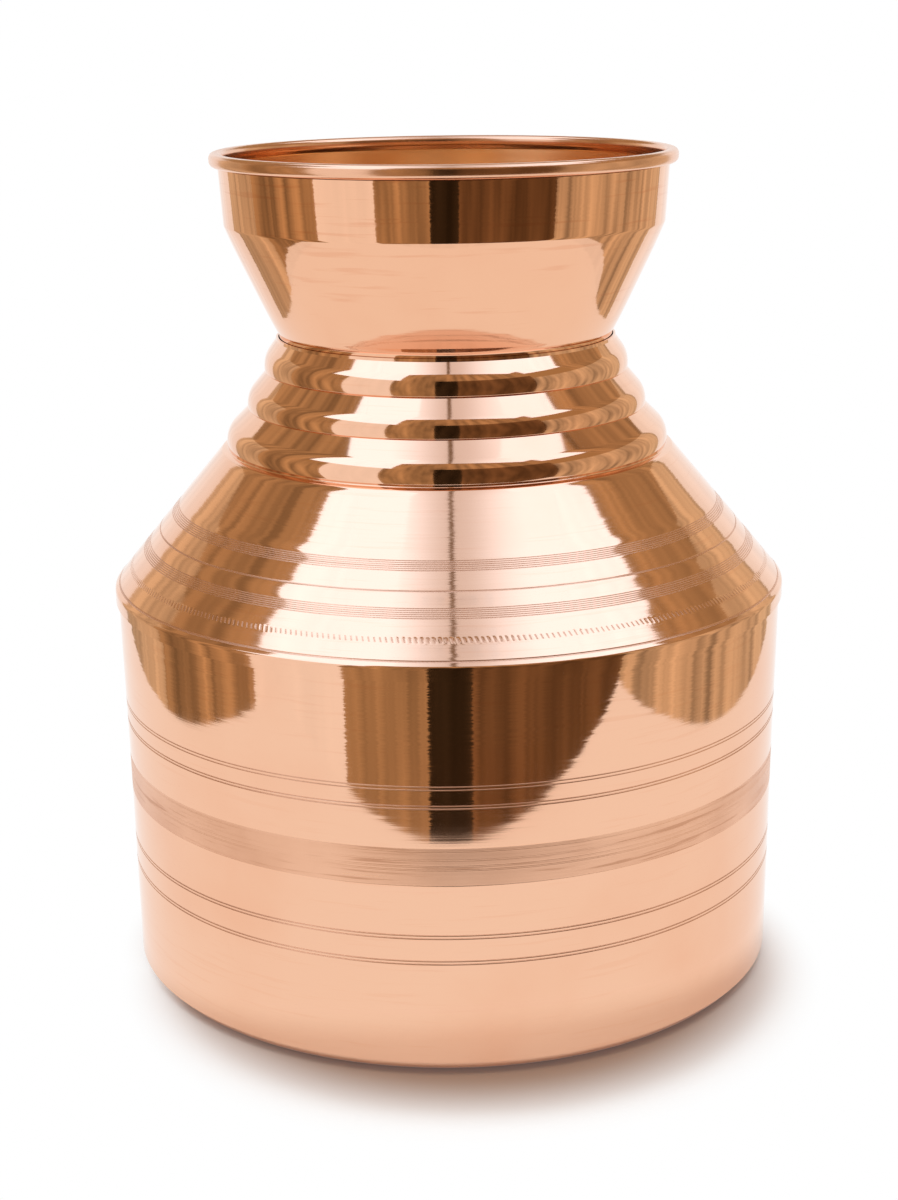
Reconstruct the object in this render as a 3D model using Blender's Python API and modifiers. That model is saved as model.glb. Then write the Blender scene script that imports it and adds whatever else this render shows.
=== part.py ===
"""Ritual water pot of polished copper, spun from sheet and brazed together.

The pot is five metal pieces and three brazed seams. From the floor up they are a
base pan, a drum wall, a ringed shoulder, a funnel mouth and the wire inside its
rolled rim. Each sheet piece is a profile of its exposed face, turned about the
Z axis and thickened by one sheet. Lengths are in metres and +Z points up.
"""

from math import acos, asin, atan2, cos, degrees, hypot, pi, radians, sin, sqrt

import bpy

# Sheet, seams and facets
SHEET = 0.0007
SEAM_GAP = 0.0003
BRAZE_LEG = 0.0015
TURN_STEPS = 48
MERGE_DISTANCE = 0.00001

# Base pan
HEEL_ROUND = 0.0050
FOOT_WIDTH = 0.0250
KICK_RUN = 0.0100
KICK_RISE = 0.0025
FLANGE_LAP = 0.0120

# Drum wall
DRUM_EDGE_HEIGHT = 0.0039
DRUM_HEIGHT = 0.1361
DRUM_FOOT_RADIUS = 0.1171
DRUM_TOP_RADIUS = 0.1190

# Ringed shoulder, with its rings counted from the top down
HEM_LAP = 0.0037
HEM_ROUND = 0.0020
CONE_RISE = 0.0513
RING_ROUNDS = (0.0104, 0.0092, 0.0088)
RING_OUT_STEPS = (0.0045, 0.0063, 0.0077)
RING_DROPS = (0.0131, 0.0129)
VALLEY_ROUND = 0.0007
RING_FOOT_ANGLE = -3.0
LIP_FILLET = 0.0022
LIP_HEIGHT = 0.0006

# Funnel mouth and its wired rim
TAIL_RADIUS = 0.0587
TAIL_LAP = 0.0100
WAIST_RISE = 0.0010
FUNNEL_HEIGHT = 0.0381
FUNNEL_BULGE = 0.0006
CREASE_RADIUS = 0.0766
COLLAR_HEIGHT = 0.0222
COLLAR_TOP_RADIUS = 0.0779
BEAD_ROUND = 0.0024
BEAD_OUT = 0.0006
BEAD_TUCK_ANGLE = -80.0
BEAD_ENTRY_ANGLE = 215.0
BEAD_DROP = 0.0026

# Facets of the small rounds
RING_FACETS = 5
FILLET_FACETS = 3
HEEL_FACETS = 5
FUNNEL_FACETS = 4
BEAD_FACETS = 13
WIRE_SIDES = 10

# Finishes: colour, roughness and metallic value
COPPER = ("polished_copper", (0.86, 0.46, 0.28, 1.0), 0.12, 1.0)
WIRE_STEEL = ("rim_wire_steel", (0.50, 0.50, 0.52, 1.0), 0.40, 1.0)
BRAZE = ("brazing_brass", (0.78, 0.60, 0.28, 1.0), 0.45, 1.0)

# Fits between the pieces
DRUM_TOP_Z = DRUM_EDGE_HEIGHT + DRUM_HEIGHT
HEM_RADIUS = DRUM_TOP_RADIUS + SEAM_GAP + SHEET
LIP_RADIUS = TAIL_RADIUS + SEAM_GAP + SHEET
BEAD_RADIUS = COLLAR_TOP_RADIUS + BEAD_OUT
WIRE_ROUND = BEAD_ROUND - SHEET - SEAM_GAP


def arc(centre, radius, start, end, facets):
    """Points on a circle from one angle to another, in degrees from the outward direction."""
    points = []
    for index in range(facets + 1):
        angle = radians(start + (end - start) * index / facets)
        points.append((centre[0] + radius * cos(angle), centre[1] + radius * sin(angle)))
    return points


def bearing(origin, target):
    """Angle in degrees at which one profile point sees another."""
    return degrees(atan2(target[1] - origin[1], target[0] - origin[0]))


def drum_radius(height):
    """Outer radius of the tapered drum at a height above the floor."""
    share = (height - DRUM_EDGE_HEIGHT) / DRUM_HEIGHT
    return DRUM_FOOT_RADIUS + (DRUM_TOP_RADIUS - DRUM_FOOT_RADIUS) * share


def seat_radius(height):
    """Radius that fits inside the drum with the seam's gap."""
    return drum_radius(height) - SHEET - SEAM_GAP


class NeckLayout:
    """Centres of the rings, the valleys between them and the fillets at both ends.

    Heights are measured from the drum's upper edge, where the shoulder sits.
    """

    def __init__(self):
        self.rings = self.ring_centres()
        self.valleys = [self.valley(index) for index in range(len(self.rings) - 1)]
        self.lip_fillet = self.lip_fillet_centre()
        self.lip_height = self.lip_fillet[1] + LIP_HEIGHT
        reach = RING_ROUNDS[-1] + VALLEY_ROUND
        foot_angle = radians(RING_FOOT_ANGLE)
        last = self.rings[-1]
        self.foot_fillet = (last[0] + reach * cos(foot_angle), last[1] + reach * sin(foot_angle))
        self.hem_centre = (HEM_RADIUS - HEM_ROUND, 0.0)
        self.cone_angle = self.cone_normal_angle()

    def ring_centres(self):
        """Ring centres from the top down, with each ring's widest point a step out from the last."""
        height = CONE_RISE + sum(RING_DROPS)
        widest = LIP_RADIUS
        centres = []
        for out_step, ring_round, drop in zip(RING_OUT_STEPS, RING_ROUNDS, RING_DROPS + (0.0,)):
            widest += out_step
            centres.append((widest - ring_round, height))
            height -= drop
        return centres

    def valley(self, index):
        """Centre and radius of the fillet that touches a ring and the next on their outer side."""
        upper, lower = self.rings[index:index + 2]
        upper_round, lower_round = RING_ROUNDS[index:index + 2]
        run = lower[0] - upper[0]
        rise = lower[1] - upper[1]
        apart = hypot(run, rise)
        fillet = max(VALLEY_ROUND, (apart - upper_round - lower_round) / 2)
        along = (apart ** 2 + (upper_round + fillet) ** 2 - (lower_round + fillet) ** 2) / (2 * apart)
        out = sqrt(max(0.0, (upper_round + fillet) ** 2 - along ** 2))
        centre = (upper[0] + (run * along - rise * out) / apart,
                  upper[1] + (rise * along + run * out) / apart)
        return centre, fillet

    def lip_fillet_centre(self):
        """Centre of the fillet between the upright lip and the top ring."""
        radius = LIP_RADIUS + LIP_FILLET
        top = self.rings[0]
        return radius, top[1] + sqrt((RING_ROUNDS[0] + LIP_FILLET) ** 2 - (radius - top[0]) ** 2)

    def cone_normal_angle(self):
        """Elevation of the cone's outward face, tangent to the hem and to the last fillet."""
        run = self.foot_fillet[0] - self.hem_centre[0]
        rise = self.foot_fillet[1] - self.hem_centre[1]
        return degrees(asin((HEM_ROUND + VALLEY_ROUND) / hypot(run, rise)) - atan2(run, rise))

    def cone_underside(self, radius):
        """Height of the cone's inner face, less the seam's gap, at a radius."""
        angle = radians(self.cone_angle)
        reach = self.hem_centre[0] * cos(angle) + HEM_ROUND - SHEET - SEAM_GAP
        return (reach - radius * cos(angle)) / sin(angle)


def base_pan_profile():
    """Upturned flange, heel, flat foot ring and the hollow under the middle."""
    flange_top = DRUM_EDGE_HEIGHT + FLANGE_LAP
    heel_radius = seat_radius(HEEL_ROUND) - HEEL_ROUND
    foot_inner = heel_radius - FOOT_WIDTH
    points = [(seat_radius(flange_top), flange_top)]
    points += arc((heel_radius, HEEL_ROUND), HEEL_ROUND, 0.0, -90.0, HEEL_FACETS)
    points += [(foot_inner, 0.0), (foot_inner - KICK_RUN, KICK_RISE), (0.0, KICK_RISE)]
    return points


def drum_profile():
    """Plain tapered wall, measured from its lower edge."""
    return [(DRUM_TOP_RADIUS, DRUM_HEIGHT), (DRUM_FOOT_RADIUS, 0.0)]


def shoulder_profile(neck):
    """Upright lip, three rings, cone, rounded hem and the skirt that laps the drum."""
    ring = neck.rings[0]
    ring_round = RING_ROUNDS[0]
    angle = bearing(ring, neck.lip_fillet)
    points = [(LIP_RADIUS, neck.lip_height)]
    points += arc(neck.lip_fillet, LIP_FILLET, 180.0, 180.0 + angle, FILLET_FACETS)[:-1]
    for (centre, fillet), below, below_round in zip(neck.valleys, neck.rings[1:], RING_ROUNDS[1:]):
        points += arc(ring, ring_round, angle, bearing(ring, centre), RING_FACETS)
        angle = bearing(below, centre)
        points += arc(centre, fillet, 180.0 + bearing(ring, centre), 180.0 + angle, FILLET_FACETS)[1:-1]
        ring = below
        ring_round = below_round
    points += arc(ring, ring_round, angle, RING_FOOT_ANGLE, RING_FACETS)
    points += arc(neck.foot_fillet, VALLEY_ROUND, 180.0 + RING_FOOT_ANGLE, 180.0 + neck.cone_angle,
                  FILLET_FACETS)[1:]
    points += arc(neck.hem_centre, HEM_ROUND, neck.cone_angle, 0.0, FILLET_FACETS)
    points.append((HEM_RADIUS, -HEM_LAP))
    return points


def funnel_points(crease, waist):
    """Points of the slightly bowed funnel from the crease down to the waist."""
    run = waist[0] - crease[0]
    rise = waist[1] - crease[1]
    length = hypot(run, rise)
    points = []
    for index in range(FUNNEL_FACETS + 1):
        share = index / FUNNEL_FACETS
        bow = FUNNEL_BULGE * 4.0 * share * (1.0 - share)
        points.append((crease[0] + run * share - rise * bow / length, crease[1] + rise * share + run * bow / length))
    return points


def mouth_profile():
    """Rolled rim, collar, funnel and tail, along the face that shows inside the mouth.

    Heights are measured from the top of the shoulder's lip.
    """
    crease_z = WAIST_RISE + FUNNEL_HEIGHT
    bead_z = crease_z + COLLAR_HEIGHT
    points = arc((BEAD_RADIUS, bead_z), BEAD_ROUND, BEAD_TUCK_ANGLE, BEAD_ENTRY_ANGLE, BEAD_FACETS)
    points.append((COLLAR_TOP_RADIUS - SHEET, bead_z - BEAD_DROP))
    points += funnel_points((CREASE_RADIUS - SHEET, crease_z), (TAIL_RADIUS - SHEET, WAIST_RISE))
    points.append((TAIL_RADIUS - SHEET, -TAIL_LAP))
    return points


def base_seam_profile():
    """Fillet of braze on the base pan's flange, against the drum."""
    bottom = DRUM_EDGE_HEIGHT + FLANGE_LAP + SEAM_GAP
    outer = seat_radius(bottom)
    return [(outer, bottom + BRAZE_LEG), (outer, bottom), (outer - BRAZE_LEG, bottom)]


def shoulder_seam_profile(neck):
    """Fillet of braze under the cone, over the inside of the drum's upper edge."""
    outer = seat_radius(DRUM_TOP_Z)
    inner = outer - BRAZE_LEG
    return [(outer, neck.cone_underside(outer)), (outer, -BRAZE_LEG), (inner, neck.cone_underside(inner))]


def neck_seam_profile(ring):
    """Fillet of braze between the mouth's tail and the inside of the top ring."""
    inner = TAIL_RADIUS + SEAM_GAP
    reach = RING_ROUNDS[0] - SHEET - SEAM_GAP
    start = acos((inner - ring[0]) / reach)
    end = asin(sin(start) - BRAZE_LEG / reach)
    points = arc(ring, reach, degrees(start), degrees(end), FILLET_FACETS)
    points.append((inner, points[-1][1]))
    return points


def clear_scene():
    """Remove every object of the open scene."""
    for existing in list(bpy.data.objects):
        bpy.data.objects.remove(existing, do_unlink=True)


def make_material(finish):
    """Principled material for one finish, made once."""
    name, colour, roughness, metallic = finish
    material = bpy.data.materials.get(name)
    if material is None:
        material = bpy.data.materials.new(name)
        material.use_nodes = True
        shader = material.node_tree.nodes["Principled BSDF"]
        shader.inputs["Base Color"].default_value = colour
        shader.inputs["Roughness"].default_value = roughness
        shader.inputs["Metallic"].default_value = metallic
    return material


def turn(name, points, finish, collection, height, closed=False):
    """Object made by turning a profile about Z, placed at a height."""
    edges = [(index, index + 1) for index in range(len(points) - 1)]
    if closed:
        edges.append((len(points) - 1, 0))
    mesh = bpy.data.meshes.new(name)
    mesh.from_pydata([(radius, 0.0, z) for radius, z in points], edges, [])
    mesh.materials.append(make_material(finish))
    piece = bpy.data.objects.new(name, mesh)
    piece.location.z = height
    collection.objects.link(piece)
    screw = piece.modifiers.new("turn", "SCREW")
    screw.axis = "Z"
    screw.angle = 2 * pi
    screw.steps = TURN_STEPS
    screw.render_steps = TURN_STEPS
    screw.use_merge_vertices = True
    screw.merge_threshold = MERGE_DISTANCE
    screw.use_smooth_shade = True
    return piece


def thicken(piece, side):
    """Give a turned face its sheet, inside it for -1 and outside it for 1."""
    shell = piece.modifiers.new("sheet", "SOLIDIFY")
    shell.thickness = SHEET
    shell.offset = side
    shell.use_even_offset = True


def add_rim_wire(collection, height):
    """Wire ring that the rolled rim is curled around."""
    bpy.ops.mesh.primitive_torus_add(
        major_segments=TURN_STEPS,
        minor_segments=WIRE_SIDES,
        major_radius=BEAD_RADIUS,
        minor_radius=WIRE_ROUND,
        location=(0.0, 0.0, height),
    )
    wire = bpy.context.object
    wire.name = "rim_wire"
    wire.data.name = "rim_wire"
    wire.data.materials.append(make_material(WIRE_STEEL))
    wire.data.shade_smooth()
    for holder in list(wire.users_collection):
        holder.objects.unlink(wire)
    collection.objects.link(wire)


def main():
    """Build the pot from the floor up."""
    clear_scene()
    pot = bpy.data.collections.new("ritual_water_pot")
    bpy.context.scene.collection.children.link(pot)
    neck = NeckLayout()
    lip_z = DRUM_TOP_Z + neck.lip_height
    bead_z = lip_z + WAIST_RISE + FUNNEL_HEIGHT + COLLAR_HEIGHT

    thicken(turn("base_pan", base_pan_profile(), COPPER, pot, 0.0), -1)
    thicken(turn("drum_wall", drum_profile(), COPPER, pot, DRUM_EDGE_HEIGHT), -1)
    thicken(turn("ringed_shoulder", shoulder_profile(neck), COPPER, pot, DRUM_TOP_Z), -1)
    thicken(turn("funnel_mouth", mouth_profile(), COPPER, pot, lip_z), 1)
    add_rim_wire(pot, bead_z)
    turn("base_braze_seam", base_seam_profile(), BRAZE, pot, 0.0, closed=True)
    turn("shoulder_braze_seam", shoulder_seam_profile(neck), BRAZE, pot, DRUM_TOP_Z, closed=True)
    turn("neck_braze_seam", neck_seam_profile(neck.rings[0]), BRAZE, pot, DRUM_TOP_Z, closed=True)


main()
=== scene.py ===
"""Looks of a ritual water pot: polished spun copper on a white table, in a small studio.

The pot is a body of revolution. Each sheet piece is a closed section of its copper,
with the engraved lines, rings and rolled edges cut into the section, spun about the
Z axis. Lengths are in metres, heights are above the table and +Z points up.
"""

import logging
from dataclasses import dataclass, field
from enum import Enum
from math import asin, atan2, cos, degrees, hypot, pi, radians, sin, sqrt, tan
from random import Random

import bmesh
import bpy
from mathutils import Matrix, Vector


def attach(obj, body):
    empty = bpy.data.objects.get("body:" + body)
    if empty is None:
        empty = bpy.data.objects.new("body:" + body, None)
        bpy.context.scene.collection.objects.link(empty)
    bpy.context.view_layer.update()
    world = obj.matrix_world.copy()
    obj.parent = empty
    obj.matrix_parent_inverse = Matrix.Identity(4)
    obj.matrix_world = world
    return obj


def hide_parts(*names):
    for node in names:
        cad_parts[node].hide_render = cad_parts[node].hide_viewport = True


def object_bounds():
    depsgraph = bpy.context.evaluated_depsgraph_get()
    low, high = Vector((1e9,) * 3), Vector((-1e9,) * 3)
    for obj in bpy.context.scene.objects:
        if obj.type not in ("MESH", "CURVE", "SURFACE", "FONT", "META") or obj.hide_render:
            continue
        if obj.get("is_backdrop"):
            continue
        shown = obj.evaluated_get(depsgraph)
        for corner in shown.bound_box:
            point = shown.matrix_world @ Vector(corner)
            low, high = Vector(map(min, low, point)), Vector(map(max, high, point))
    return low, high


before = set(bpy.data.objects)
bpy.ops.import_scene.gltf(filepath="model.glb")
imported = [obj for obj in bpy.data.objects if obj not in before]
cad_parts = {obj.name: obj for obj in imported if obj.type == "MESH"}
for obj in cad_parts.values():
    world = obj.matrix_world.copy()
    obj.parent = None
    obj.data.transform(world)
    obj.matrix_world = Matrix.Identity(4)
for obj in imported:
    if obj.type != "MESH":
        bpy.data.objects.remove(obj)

Point = tuple[float, float]
Place = tuple[float, float, float]
Colour = tuple[float, float, float]
Socket = bpy.types.NodeSocket

SHEET = 0.0007
MERGE_DISTANCE = 0.000002
SHARP_ANGLE = radians(11.0)
INWARD_LEAN = -0.05

log = logging.getLogger("water_pot")


class Tint(Enum):
    """Colours of the cards that stand round the pot, to be mirrored in it."""

    DAYLIGHT = (0.80, 1.00, 1.28)
    WHITE = (1.0, 1.0, 1.0)
    TAN = (0.60, 0.48, 0.32)
    BROWN = (0.40, 0.27, 0.14)
    UMBER = (0.16, 0.09, 0.04)
    BLACK = (0.03, 0.02, 0.01)

    @property
    def folds(self) -> float:
        """How much the painted shade of the cloth's folds lightens and darkens it."""
        return 0.06 if self in (Tint.DAYLIGHT, Tint.WHITE) else 0.60


class Face(Enum):
    """Places of a sheet's finishes in its list of materials."""

    OUTSIDE = 0
    INSIDE = 1
    SPECIAL = 2
    LINE = 3


def polar(centre: Point, radius: float, angle: float) -> Point:
    """Point of a circle at an angle in degrees from the outward direction."""
    return (centre[0] + radius * cos(radians(angle)), centre[1] + radius * sin(radians(angle)))


def arc(centre: Point, radius: float, start: float, end: float, steps: int) -> list[Point]:
    """Points on a circle in the section's plane.

    Args:
        centre: Centre of the circle.
        radius: Radius of the circle.
        start: First angle in degrees, from the outward direction.
        end: Last angle in degrees.
        steps: Number of equal parts.

    Returns:
        The points, both ends included.
    """
    return [polar(centre, radius, start + (end - start) * index / steps) for index in range(steps + 1)]


def bearing(origin: Point, target: Point) -> float:
    """Angle in degrees at which one section point sees another."""
    return degrees(atan2(target[1] - origin[1], target[0] - origin[0]))


def eased(share: float) -> float:
    """Share that starts and ends gently."""
    return share * share * (3.0 - 2.0 * share)


@dataclass(frozen=True)
class Generator:
    """A straight stretch of a section, whose outward side is on the left of its way.

    Attributes:
        start: First point.
        end: Last point.
    """

    start: Point
    end: Point

    @property
    def length(self) -> float:
        """Length of the stretch."""
        return hypot(self.end[0] - self.start[0], self.end[1] - self.start[1])

    def at(self, distance: float, height: float = 0.0) -> Point:
        """A point of the stretch.

        Args:
            distance: Distance from its start.
            height: How far the point stands out of the surface.

        Returns:
            The point in the section's plane.
        """
        run = (self.end[0] - self.start[0]) / self.length
        rise = (self.end[1] - self.start[1]) / self.length
        return (self.start[0] + run * distance - rise * height,
                self.start[1] + rise * distance + run * height)

    def along(self, point: Point) -> float:
        """Distance from the start to where a point lies beside the stretch."""
        run = (self.end[0] - self.start[0]) * (point[0] - self.start[0])
        rise = (self.end[1] - self.start[1]) * (point[1] - self.start[1])
        return (run + rise) / self.length


@dataclass(frozen=True)
class Cut:
    """One engraved line across a straight stretch.

    Attributes:
        place: Distance of its middle from the start of the stretch.
        width: Width between its lips.
        depth: Depth of its floor.
        floor: Share of the width that the floor takes up.
        border: Share of the width that stays flat beyond each lip.
    """

    place: float
    width: float
    depth: float
    floor: float = 0.30
    border: float = 0.25

    def holds(self, distance: float) -> bool:
        """True between the line's lips."""
        return abs(distance - self.place) < self.width / 2

    def relief(self) -> list[Point]:
        """Distance and height of the points that draw the line, lips and their borders included."""
        half = self.width / 2
        border = half + self.width * self.border
        floor = half * self.floor
        flat = [(self.place + side, 0.0) for side in (-border, -half, half, border)]
        return flat + [(self.place - floor, -self.depth), (self.place + floor, -self.depth)]


class Graph:
    """The node tree of a material or a world, built node by node."""

    def __init__(self, owner: bpy.types.ID) -> None:
        """Take over the owner's tree and empty it."""
        owner.use_nodes = True
        self.tree = owner.node_tree
        self.tree.nodes.clear()

    def add(self, kind: str, inputs: dict | None = None, **settings: object) -> bpy.types.Node:
        """Add a node.

        Args:
            kind: The node's type.
            inputs: Values or output sockets for its inputs, by name or number.
            **settings: Properties of the node.

        Returns:
            The node.
        """
        node = self.tree.nodes.new(kind)
        for name, value in settings.items():
            setattr(node, name, value)
        for name, value in (inputs or {}).items():
            if isinstance(value, Socket):
                self.tree.links.new(value, node.inputs[name])
            else:
                node.inputs[name].default_value = value
        return node

    def math(self, operation: str, first: object, second: object = 0.0) -> Socket:
        """Result of a Math node on two numbers or sockets."""
        return self.add("ShaderNodeMath", {0: first, 1: second}, operation=operation).outputs[0]

    def vector(self, operation: str, inputs: dict, result: str = "Vector") -> Socket:
        """Result of a Vector Math node."""
        return self.add("ShaderNodeVectorMath", inputs, operation=operation).outputs[result]

    def ramp(self, value: Socket, low: float, high: float) -> Socket:
        """Smooth step of a number from 0 at one value to 1 at another."""
        inputs = {"Value": value, "From Min": low, "From Max": high}
        return self.add("ShaderNodeMapRange", inputs, interpolation_type="SMOOTHSTEP").outputs[0]

    def spread(self, value: Socket, source: Point, target: Point) -> Socket:
        """Number that runs evenly over the target while the value runs over the source."""
        inputs = {"Value": value, "From Min": source[0], "From Max": source[1]}
        inputs |= {"To Min": target[0], "To Max": target[1]}
        return self.add("ShaderNodeMapRange", inputs).outputs[0]

    def place(self) -> Socket:
        """Place on the piece."""
        return self.add("ShaderNodeTexCoord").outputs["Object"]

    def noise(self, place: Socket, scale: float, detail: float, roughness: float = 0.5) -> Socket:
        """Noise about 0.5 at a place."""
        inputs = {"Vector": place, "Scale": scale, "Detail": detail, "Roughness": roughness}
        return self.add("ShaderNodeTexNoise", inputs).outputs[0]

    def mix(self, share: Socket, first: Colour, second: Colour | Socket) -> Socket:
        """Mix two colours.

        Args:
            share: Share of the second colour.
            first: Colour where the share is 0.
            second: Colour where the share is 1.

        Returns:
            The mixed colour.
        """
        other = second if isinstance(second, Socket) else (*second, 1.0)
        inputs = {"Factor": share, "A": (*first, 1.0), "B": other}
        return self.add("ShaderNodeMix", inputs, data_type="RGBA").outputs["Result"]

    def either(self, share: Socket, first: bpy.types.Node, second: bpy.types.Node) -> bpy.types.Node:
        """Mix of two shaders, the second where the share is 1."""
        return self.add("ShaderNodeMixShader", {0: share, 1: first.outputs[0], 2: second.outputs[0]})

    def glow(self, strength: float | Socket, colour: Colour = Tint.WHITE.value,
             kind: str = "ShaderNodeEmission") -> bpy.types.Node:
        """Shader of a surface or a sky that gives off light."""
        return self.add(kind, {"Color": (*colour, 1.0), "Strength": strength})

    def metal(self, colour: Socket, roughness: Socket, normal: Socket) -> bpy.types.Node:
        """Shader of a bare metal."""
        inputs = {"Base Color": colour, "Metallic": 1.0, "Roughness": roughness, "Normal": normal}
        return self.add("ShaderNodeBsdfPrincipled", inputs)

    def seen(self, *rays: str) -> Socket:
        """1 where the path is one of the named kinds of ray, else 0."""
        path = self.add("ShaderNodeLightPath")
        total = path.outputs[rays[0]]
        for ray in rays[1:]:
            total = self.math("MAXIMUM", total, path.outputs[ray])
        return total

    def end(self, shader: bpy.types.Node, kind: str = "ShaderNodeOutputMaterial") -> None:
        """Lead a shader to the tree's output."""
        self.add(kind, {"Surface": shader.outputs[0]})


@dataclass(frozen=True)
class Streaks:
    """Fine marks that are drawn out round the pot.

    Attributes:
        turn: Marks per metre round the pot.
        rise: Marks per metre along the section.
        detail: Octaves of their noise.
        roughness: Strength of each octave beside the one before.
    """

    turn: float
    rise: float
    detail: float
    roughness: float = 0.65

    def draw(self, graph: Graph, place: Socket, along: Socket) -> Socket:
        """Add the marks to a node tree.

        Args:
            graph: Node tree to add to.
            place: Place on the piece.
            along: Distance along the section.

        Returns:
            The noise, about 0.5.
        """
        axes = graph.add("ShaderNodeSeparateXYZ", {0: place}).outputs
        drawn = graph.add("ShaderNodeCombineXYZ", {
            0: graph.math("MULTIPLY", axes["X"], self.turn),
            1: graph.math("MULTIPLY", axes["Y"], self.turn),
            2: graph.math("MULTIPLY", along, self.rise),
        })
        return graph.noise(drawn.outputs[0], 1.0, self.detail, self.roughness)


@dataclass(frozen=True)
class CopperFinish:
    """Polished copper with fine turning marks.

    Attributes:
        name: Name of the material.
        bright: Colour of freshly polished copper.
        warm: Colour where a thin tarnish has begun.
        roughness: Lowest and highest roughness of the polish.
        wave: Height of the broad turning waves.
        line: Height of the fine turning lines.
        ragged: How far single turning lines lean sideways, in radians.
        leans: Turning lines that lean.
        scuff: How much the polishing scuffs dull the copper.
        slope: Share of the radius that is taken off the height to measure along the section.
        wave_noise: Scale, octaves and roughness of the broad turning waves.
        lines: Fine turning lines.
        scuffs: Polishing scuffs.
        cloud: Scale and octaves of the tarnish.
        cloud_range: Noise at which the tarnish starts and is full.
        scuff_range: Noise at which a scuff starts and is full.
        grind_range: Noise at which the polish is finest and coarsest.
        scuff_grind: How much a scuff coarsens the polish.
    """

    name: str
    bright: Colour = (0.900, 0.535, 0.360)
    warm: Colour = (0.870, 0.480, 0.310)
    roughness: Point = (0.035, 0.080)
    wave: float = 0.000026
    line: float = 0.0000036
    ragged: float = 0.006
    leans: Streaks = Streaks(3.0, 1900.0, 1.0)
    scuff: float = 0.5
    slope: float = 0.85
    wave_noise: tuple[float, float, float] = (95.0, 2.0, 0.55)
    lines: Streaks = Streaks(5.0, 900.0, 3.0)
    scuffs: Streaks = Streaks(26.0, 620.0, 2.0)
    cloud: Point = (16.0, 4.0)
    cloud_range: Point = (0.45, 0.80)
    scuff_range: Point = (0.55, 0.70)
    grind_range: Point = (0.10, 0.55)
    scuff_grind: float = 0.3

    def material(self) -> bpy.types.Material:
        """Make the material.

        Returns:
            A procedural metal on the piece's own coordinates.
        """
        material = bpy.data.materials.new(self.name)
        graph = Graph(material)
        place = graph.place()
        along = self.along(graph, place)
        lines = self.lines.draw(graph, place, along)
        cloud = graph.noise(place, *self.cloud)
        marks = graph.ramp(self.scuffs.draw(graph, place, along), *self.scuff_range)
        worn = graph.math("MULTIPLY", marks, self.scuff)
        tarnish = graph.math("MAXIMUM", graph.ramp(cloud, *self.cloud_range), worn)
        tone = graph.mix(tarnish, self.bright, self.warm)
        coarse = graph.math("MULTIPLY", worn, self.scuff_grind)
        grind = graph.math("ADD", graph.math("MULTIPLY", lines, cloud), coarse)
        polish = graph.spread(grind, self.grind_range, self.roughness)
        bump = self.bump(graph, along, lines)
        graph.end(graph.metal(tone, polish, self.leaning(graph, place, along, bump)))
        return material

    def along(self, graph: Graph, place: Socket) -> Socket:
        """Distance along the section at a place on the piece.

        Args:
            graph: Node tree to add to.
            place: Place on the piece.

        Returns:
            The distance, from the foot of the axis.
        """
        axes = graph.add("ShaderNodeSeparateXYZ", {0: place}).outputs
        squares = [graph.math("MULTIPLY", axes[name], axes[name]) for name in ("X", "Y")]
        across = graph.math("SQRT", graph.math("ADD", *squares))
        return graph.math("SUBTRACT", axes["Z"], graph.math("MULTIPLY", across, self.slope))

    def bump(self, graph: Graph, along: Socket, lines: Socket) -> Socket:
        """Raise the turning waves and lines.

        Args:
            graph: Node tree to add to.
            along: Distance along the section.
            lines: Noise of the turning lines.

        Returns:
            Direction of the surface.
        """
        scale, detail, roughness = self.wave_noise
        inputs = {"W": along, "Scale": scale, "Detail": detail, "Roughness": roughness}
        waves = graph.add("ShaderNodeTexNoise", inputs, noise_dimensions="1D").outputs[0]
        heights = [graph.math("MULTIPLY", waves, self.wave), graph.math("MULTIPLY", lines, self.line)]
        relief = {"Height": graph.math("ADD", *heights), "Strength": 1.0, "Distance": 1.0}
        return graph.add("ShaderNodeBump", relief).outputs[0]

    def leaning(self, graph: Graph, place: Socket, along: Socket, normal: Socket) -> Socket:
        """Lean the surface sideways, line by line, so that mirrored edges come out ragged.

        Args:
            graph: Node tree to add to.
            place: Place on the piece.
            along: Distance along the section.
            normal: Direction of the surface.

        Returns:
            The leaning direction.
        """
        leans = self.leans.draw(graph, place, along)
        side = graph.vector("CROSS_PRODUCT", {0: (0.0, 0.0, 1.0), 1: place})
        side = graph.vector("NORMALIZE", {0: side})
        amount = graph.math("MULTIPLY", graph.math("SUBTRACT", leans, 0.5), 2.0 * self.ragged)
        push = graph.vector("SCALE", {0: side, "Scale": amount})
        return graph.vector("NORMALIZE", {0: graph.vector("ADD", {0: normal, 1: push})})


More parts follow.
